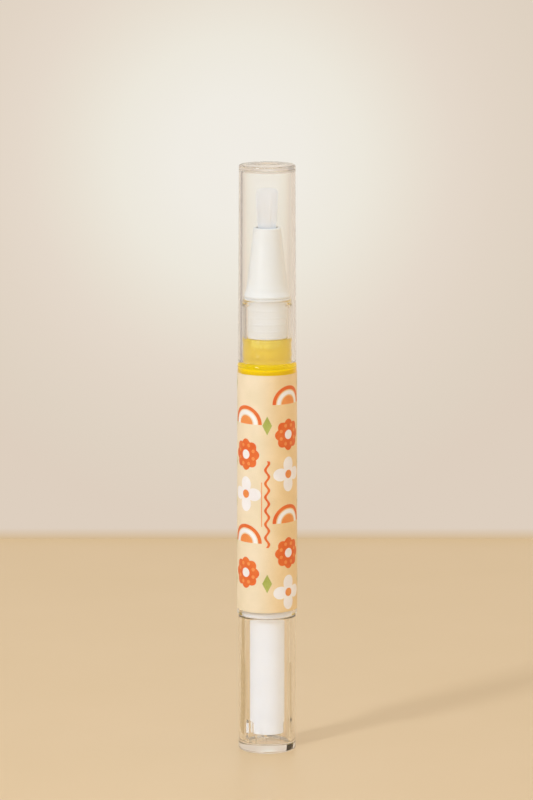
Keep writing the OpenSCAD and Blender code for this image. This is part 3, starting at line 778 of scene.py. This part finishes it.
foot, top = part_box("brush_bristles")
root_z = backing_top - filament_set
straight = bmesh.new()
bmesh.ops.create_cone(
    straight, cap_ends=True, segments=filament_sides, radius1=filament_r, radius2=filament_tip_r, depth=1)
bmesh.ops.translate(straight, vec=(0, 0, 0.5), verts=straight.verts)
for ring in range(1, filament_rings):
    bmesh.ops.bisect_plane(
        straight, geom=straight.verts[:] + straight.edges[:] + straight.faces[:],
        plane_co=(0, 0, ring / filament_rings), plane_no=(0, 0, 1))
filament = bpy.data.meshes.new("filament")
straight.to_mesh(filament)
straight.free()
strand_mesh = bpy.data.meshes.new("strand")
brush = bmesh.new()
chance = random.Random(7)
golden_turn = math.pi * (3 - math.sqrt(5))
for i in range(filament_count):
    share = math.sqrt((i + 0.5) / filament_count)
    root = tube_clear_r + share * (brush_root_r - tube_clear_r)
    out = Vector((math.cos(i * golden_turn), math.sin(i * golden_turn), 0))
    rise = top.z - root_z - edge_drop * share ** 5 - chance.uniform(0, trim_scatter) * mm
    stray = Vector((chance.uniform(-1, 1), chance.uniform(-1, 1), 0)) * stray_reach
    made = bmesh.new()
    made.from_mesh(filament)
    for point in made.verts:
        along = point.co.z
        bent = min(max((along - spread_from) / (spread_to - spread_from), 0), 1)
        reach = root * (1 + (brush_spread - 1) * bent * bent * (3 - 2 * bent))
        risen = Vector((point.co.x, point.co.y, root_z + rise * along))
        point.co = risen + out * reach + stray * along
    made.to_mesh(strand_mesh)
    made.free()
    brush.from_mesh(strand_mesh)
filaments = placed("brush_filaments", brush, sharp=80)
filaments.data.materials.append(filament_nylon)
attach(filaments, "barrel")
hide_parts("brush_bristles")
backing = turned("brush_backing", rounded([
    (backing_bore_r, backing_foot, 0.05 * mm), (backing_r, backing_foot, 0.15 * mm),
    (backing_r, backing_top, 0.1 * mm), (backing_bore_r, backing_top, 0.05 * mm),
]))
backing.data.materials.append(filament_nylon)
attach(backing, "barrel")
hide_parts("brush_bristles")

# Cap
# A thin pull-off cap of natural polypropylene, moulded without pigment: clear enough to
# show the brush, with a slight milky veil. Its top has a shallow dimple where it was filled.
cap_bore_r = 5.87 * mm
cap_top_r = 6.55 * mm
ceiling_r = 5.71 * mm
ceiling_z = 137.0 * mm
dimple_r = 3 * mm
dimple_depth = 0.25 * mm

# Unpigmented polypropylene gives a clear, faintly warm wall with a soft haze
frosted = veiled_plastic("natural_moulded_polypropylene", "#FFFFFE", "#FFF8EE", 0.03, 1.49, 0.08)

foot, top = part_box("cap_shell")
cap_r = top.x
cap = turned("frosted_cap", rounded([
    (cap_bore_r, foot.z, 0.12 * mm), (cap_r, foot.z, 0.2 * mm), (cap_top_r, top.z, 0.5 * mm),
    (dimple_r, top.z, 0.15 * mm), (dimple_r - 0.3 * mm, top.z - dimple_depth, 0.15 * mm),
    (0, top.z - dimple_depth), (0, ceiling_z), (ceiling_r, ceiling_z, 0.5 * mm),
], steps=5))
cap.data.materials.append(frosted)
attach(cap, "cap")
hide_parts("cap_shell")

# Studio
# A pale tabletop, a glowing backdrop with a painted pool of light and painted shade along its
# foot, a key lamp at the front left with its cloth, wide fills, and a strip for the nozzle's
# highlight. The cards show only in reflections inside the clear pieces, as painted reflections
# of shade and of shaded floor. None of it belongs to the pen.
lens = 188.1
camera_place = Vector((-0.00015, -0.9577, 0.2494))
camera_aim = Vector((-0.00015, 0, 0.0831))
floor_half = 4.0
wall_y = 0.241
wall_half_h = 1.5
# Centre and reach of the painted pool of light on the backdrop, and the height of its painted foot shade.
glow_place = (-0.0078, 0.1117)
glow_reach = 0.1064
painted_shade_height = 3.2 * mm
card_tone_top = 0.15
card_reach = 0.09
card_lift = 0.05 * mm

floor_shape = bmesh.new()
bmesh.ops.create_grid(floor_shape, x_segments=1, y_segments=1, size=floor_half)
bmesh.ops.translate(floor_shape, vec=(0, 0, -0.01 * mm), verts=floor_shape.verts)
floor = placed("tabletop", floor_shape)
board, tree = new_material("satin_painted_board")
place = add(tree, "TexCoord")
fibre = add(tree, "TexNoise", {
    "Vector": place.outputs["Object"], "Scale": 1 / (40 * mm), "Detail": 3.0})
tone = add(tree, "ValToRGB", {0: fibre.outputs[0]}, stops=[(0.3, "#DBB98A"), (0.7, "#DDBB8D")])
shader = add(tree, "BsdfPrincipled", {
    "Base Color": tone.outputs[0], "Roughness": 0.38, "IOR": 1.45,
    "Normal": moulded_bump(tree, 0.6 * mm, 0.004 * mm)})
add(tree, "OutputMaterial", {"Surface": shader.outputs[0]})
floor.data.materials.append(board)

wall_shape = bmesh.new()
bmesh.ops.create_grid(wall_shape, x_segments=1, y_segments=1, size=1)
bmesh.ops.rotate(wall_shape, matrix=Matrix.Rotation(math.pi / 2, 3, "X"), verts=wall_shape.verts)
bmesh.ops.scale(wall_shape, vec=(floor_half, 1, wall_half_h), verts=wall_shape.verts)
bmesh.ops.translate(wall_shape, vec=(0, wall_y, wall_half_h), verts=wall_shape.verts)
wall = placed("backdrop", wall_shape)
wall.visible_diffuse = False
wall.visible_shadow = False
# Painted light: the backdrop glows with a painted pool of light, palest round glow_place and darker
# outwards, with a painted shade band along its foot.
paper, tree = new_material("glowing_backdrop_paper")
place = add(tree, "TexCoord")
centred = add(tree, "Mapping", {
    "Vector": place.outputs["Object"],
    "Location": (-glow_place[0] / glow_reach, 0, -glow_place[1] / glow_reach),
    "Scale": (1 / glow_reach, 0, 1 / glow_reach)})
far = add(tree, "VectorMath", {0: centred.outputs[0]}, operation="LENGTH")
glow = add(tree, "ValToRGB", {0: far.outputs["Value"]}, stops=[
    (0.0, "#F1EDE5"), (0.17, "#F0ECE3"), (0.33, "#EDE8DC"), (0.48, "#E8DFD1"),
    (0.58, "#E5D9CB"), (0.7, "#E2D5C6"), (0.85, "#DFD2C2"), (1.0, "#DECFBF")])
height = add(tree, "SeparateXYZ", {0: place.outputs["Object"]})
painted_foot_shade = add(tree, "MapRange", {"Value": height.outputs["Z"], "From Max": painted_shade_height})
shaded = add(tree, "Mix", {
    0: painted_foot_shade.outputs[0], 6: linear("#D4B993"), 7: glow.outputs[0]}, data_type="RGBA")
light = add(tree, "Emission", {"Color": shaded.outputs[2], "Strength": 1.0})
geometry = add(tree, "NewGeometry")
clear = add(tree, "BsdfTransparent")
shown = add(tree, "MixShader", {
    0: geometry.outputs["Backfacing"], 1: light.outputs[0], 2: clear.outputs[0]})
add(tree, "OutputMaterial", {"Surface": shown.outputs[0]})
wall.data.materials.append(paper)


def card(name, near, far, low, high, stops):
    """A glowing card between two ground points that only reflections inside the clear pieces show,
    as a painted reflection. Its tone follows its height. With no height of its own it lies
    flat, and reaches in to the pen."""
    shape = bmesh.new()
    corners = [(*near, low), (*far, low), (*far, high), (*near, high)]
    if low == high:
        corners = [(0.2 * x, 0.2 * y, low) for x, y in (near, far)] + [(*far, low), (*near, low)]
    shape.faces.new([shape.verts.new(corner) for corner in corners])
    made = placed(name, shape)
    made.visible_camera = False
    made.visible_diffuse = False
    made.visible_shadow = False
    face, tree = new_material(name + "_card")
    place = add(tree, "TexCoord")
    height = add(tree, "SeparateXYZ", {0: place.outputs["Object"]})
    share = add(tree, "MapRange", {"Value": height.outputs["Z"], "From Max": card_tone_top})
    shade = add(tree, "ValToRGB", {0: share.outputs[0]}, stops=stops)
    tone = add(tree, "Emission", {"Color": shade.outputs[0], "Strength": 1.0})
    path = add(tree, "LightPath")
    both = add(tree, "Math", {
        0: path.outputs["Glossy Depth"], 1: path.outputs["Transmission Depth"]}, operation="MULTIPLY")
    inside = add(tree, "Math", {0: both.outputs[0], 1: 1}, operation="MINIMUM")
    through = add(tree, "BsdfTransparent")
    shown = add(tree, "MixShader", {0: inside.outputs[0], 1: through.outputs[0], 2: tone.outputs[0]})
    add(tree, "OutputMaterial", {"Surface": shown.outputs[0]})
    made.data.materials.append(face)


def ground(turn, distance):
    """A ground point at that turn from straight behind the pen, to the right if positive."""
    return (distance * math.sin(math.radians(turn)), distance * math.cos(math.radians(turn)))


# Painted reflections: the standing card paints dark shade into the left edges of the clear pieces, over a
# tan foot of painted shaded floor; the flat olive and tan cards paint shaded floor there.
card("left_dark", ground(-58, card_reach), ground(-33, 0.11), 0.0, 0.2, [
    (0.0, "#C3A67A"), (0.085, "#C3A67A"), (0.1, "#1C1814"), (0.28, "#1C1814"), (0.34, "#A89D94"),
    (1.0, "#A89D94")])
card("left_olive", ground(-66, card_reach), ground(-25, 0.11), card_lift, card_lift, [
    (0.0, "#C3A67A"), (1.0, "#C3A67A")])
card("right_tan", ground(60, card_reach), ground(49, card_reach), card_lift, card_lift, [
    (0.0, "#C8AB82"), (1.0, "#C8AB82")])

world = bpy.data.worlds.new("studio")
bpy.context.scene.world = world
world.use_nodes = True
tree = world.node_tree
tree.nodes.clear()
path = add(tree, "LightPath")
mirrored = add(tree, "Math", {
    0: path.outputs["Is Glossy Ray"], 1: path.outputs["Is Transmission Ray"]}, operation="MAXIMUM")
seen = add(tree, "Math", {0: path.outputs["Is Camera Ray"], 1: mirrored.outputs[0]}, operation="MAXIMUM")
way = add(tree, "TexCoord")
side = add(tree, "VectorMath", {
    0: way.outputs["Generated"], 1: (-0.7, -0.7, 0.1)}, operation="DOT_PRODUCT")
share = add(tree, "MapRange", {"Value": side.outputs["Value"], "From Min": -1, "From Max": 1})
soft = add(tree, "ValToRGB", {0: share.outputs[0]}, stops=[
    (0.1, "#FAF0E4"), (0.5, "#DEE4E8"), (0.9, "#DEE8F2")])
room = add(tree, "Background", {"Color": soft.outputs[0], "Strength": 1.0})
across = add(tree, "SeparateXYZ", {0: way.outputs["Generated"]})
depth = add(tree, "MapRange", {"Value": across.outputs["Y"], "From Min": -1, "From Max": 1})
dim_front = add(tree, "ValToRGB", {0: depth.outputs[0]}, stops=[
    (0.1, "#A29A90"), (0.45, "#D6CBBD"), (0.7, "#E6DACB")])
leftward = add(tree, "MapRange", {
    "Value": across.outputs["X"], "From Min": -0.9, "From Max": -0.2, "To Min": 0.45})
shade = add(tree, "Background", {
    "Color": dim_front.outputs[0], "Strength": leftward.outputs[0]})
sky = add(tree, "MixShader", {0: seen.outputs[0], 1: room.outputs[0], 2: shade.outputs[0]})
add(tree, "OutputWorld", {"Surface": sky.outputs[0]})


def lamp(name, place, aim, size, power, colour, mirrored=False):
    """A rectangular soft lamp that points at a place. The camera never sees it, and reflections
    and clear pieces show it only if it is mirrored."""
    data = bpy.data.lights.new(name, "AREA")
    data.shape, data.size, data.size_y = "RECTANGLE", *size
    data.energy, data.color = power, linear(colour)[:3]
    made = bpy.data.objects.new(name, data)
    made.location = place
    made.rotation_euler = (Vector(aim) - Vector(place)).to_track_quat("-Z", "Y").to_euler()
    made.visible_camera = False
    made.visible_glossy = mirrored
    made.visible_transmission = mirrored
    bpy.context.scene.collection.objects.link(made)


def around(azimuth, elevation, distance):
    """A point at that distance round the pen; azimuth 0 is in front and 90 at its right."""
    a, e = math.radians(azimuth), math.radians(elevation)
    level = distance * math.cos(e)
    return (level * math.sin(a), -level * math.cos(a), distance * math.sin(e))


middle = (0, 0, 0.07)
key_place = Vector(around(-44.5, 38, 1.1))
cloth_half = 0.13
cloth_behind = 1.02
cloth_shape = bmesh.new()
bmesh.ops.create_grid(cloth_shape, x_segments=1, y_segments=1, size=cloth_half)
facing = (Vector(middle) - key_place).to_track_quat("Z", "Y").to_matrix()
bmesh.ops.rotate(cloth_shape, matrix=facing, verts=cloth_shape.verts)
bmesh.ops.translate(cloth_shape, vec=key_place * cloth_behind, verts=cloth_shape.verts)
cloth = placed("lamp_cloth", cloth_shape)
cloth.visible_camera = False
cloth.visible_diffuse = False
cloth.visible_shadow = False
lit_cloth, tree = new_material("lit_lamp_cloth")
light = add(tree, "Emission", {"Color": linear("#EDF3FF"), "Strength": 16.0})
add(tree, "OutputMaterial", {"Surface": light.outputs[0]})
cloth.data.materials.append(lit_cloth)
lamp("key", key_place, middle, (0.12, 0.12), 4.5, "#CBE0FF")
lamp("fill", around(8, 15, 1.6), middle, (1.2, 1.2), 4.7, "#DAE8FC")
lamp("right_fill", around(82, 22, 1.3), middle, (0.9, 0.9), 1.0, "#FFF4E4")
lamp("overhead", (0, -0.1, 1.5), middle, (1.6, 1.6), 2.0, "#F0F6F8")
lamp("nozzle_strip", (-0.245, -0.245, 0.137), (0, 0, 0.117), (0.03, 0.05), 0.09, "#FFFFFF", True)

camera_data = bpy.data.cameras.new("camera")
camera_data.lens = lens
camera_data.clip_start = 0.05
camera = bpy.data.objects.new("camera", camera_data)
camera.location = camera_place
camera.rotation_euler = (camera_aim - camera_place).to_track_quat("-Z", "Y").to_euler()
bpy.context.scene.collection.objects.link(camera)
bpy.context.scene.camera = camera

scene = bpy.context.scene
scene.view_settings.view_transform = "Standard"
scene.cycles.max_bounces = 24
scene.cycles.transmission_bounces = 24
scene.cycles.glossy_bounces = 24
scene.cycles.transparent_max_bounces = 32
scene.cycles.caustics_refractive = False
scene.cycles.caustics_reflective = False
scene.cycles.sample_clamp_indirect = 3.0
scene.cycles.use_denoising = True
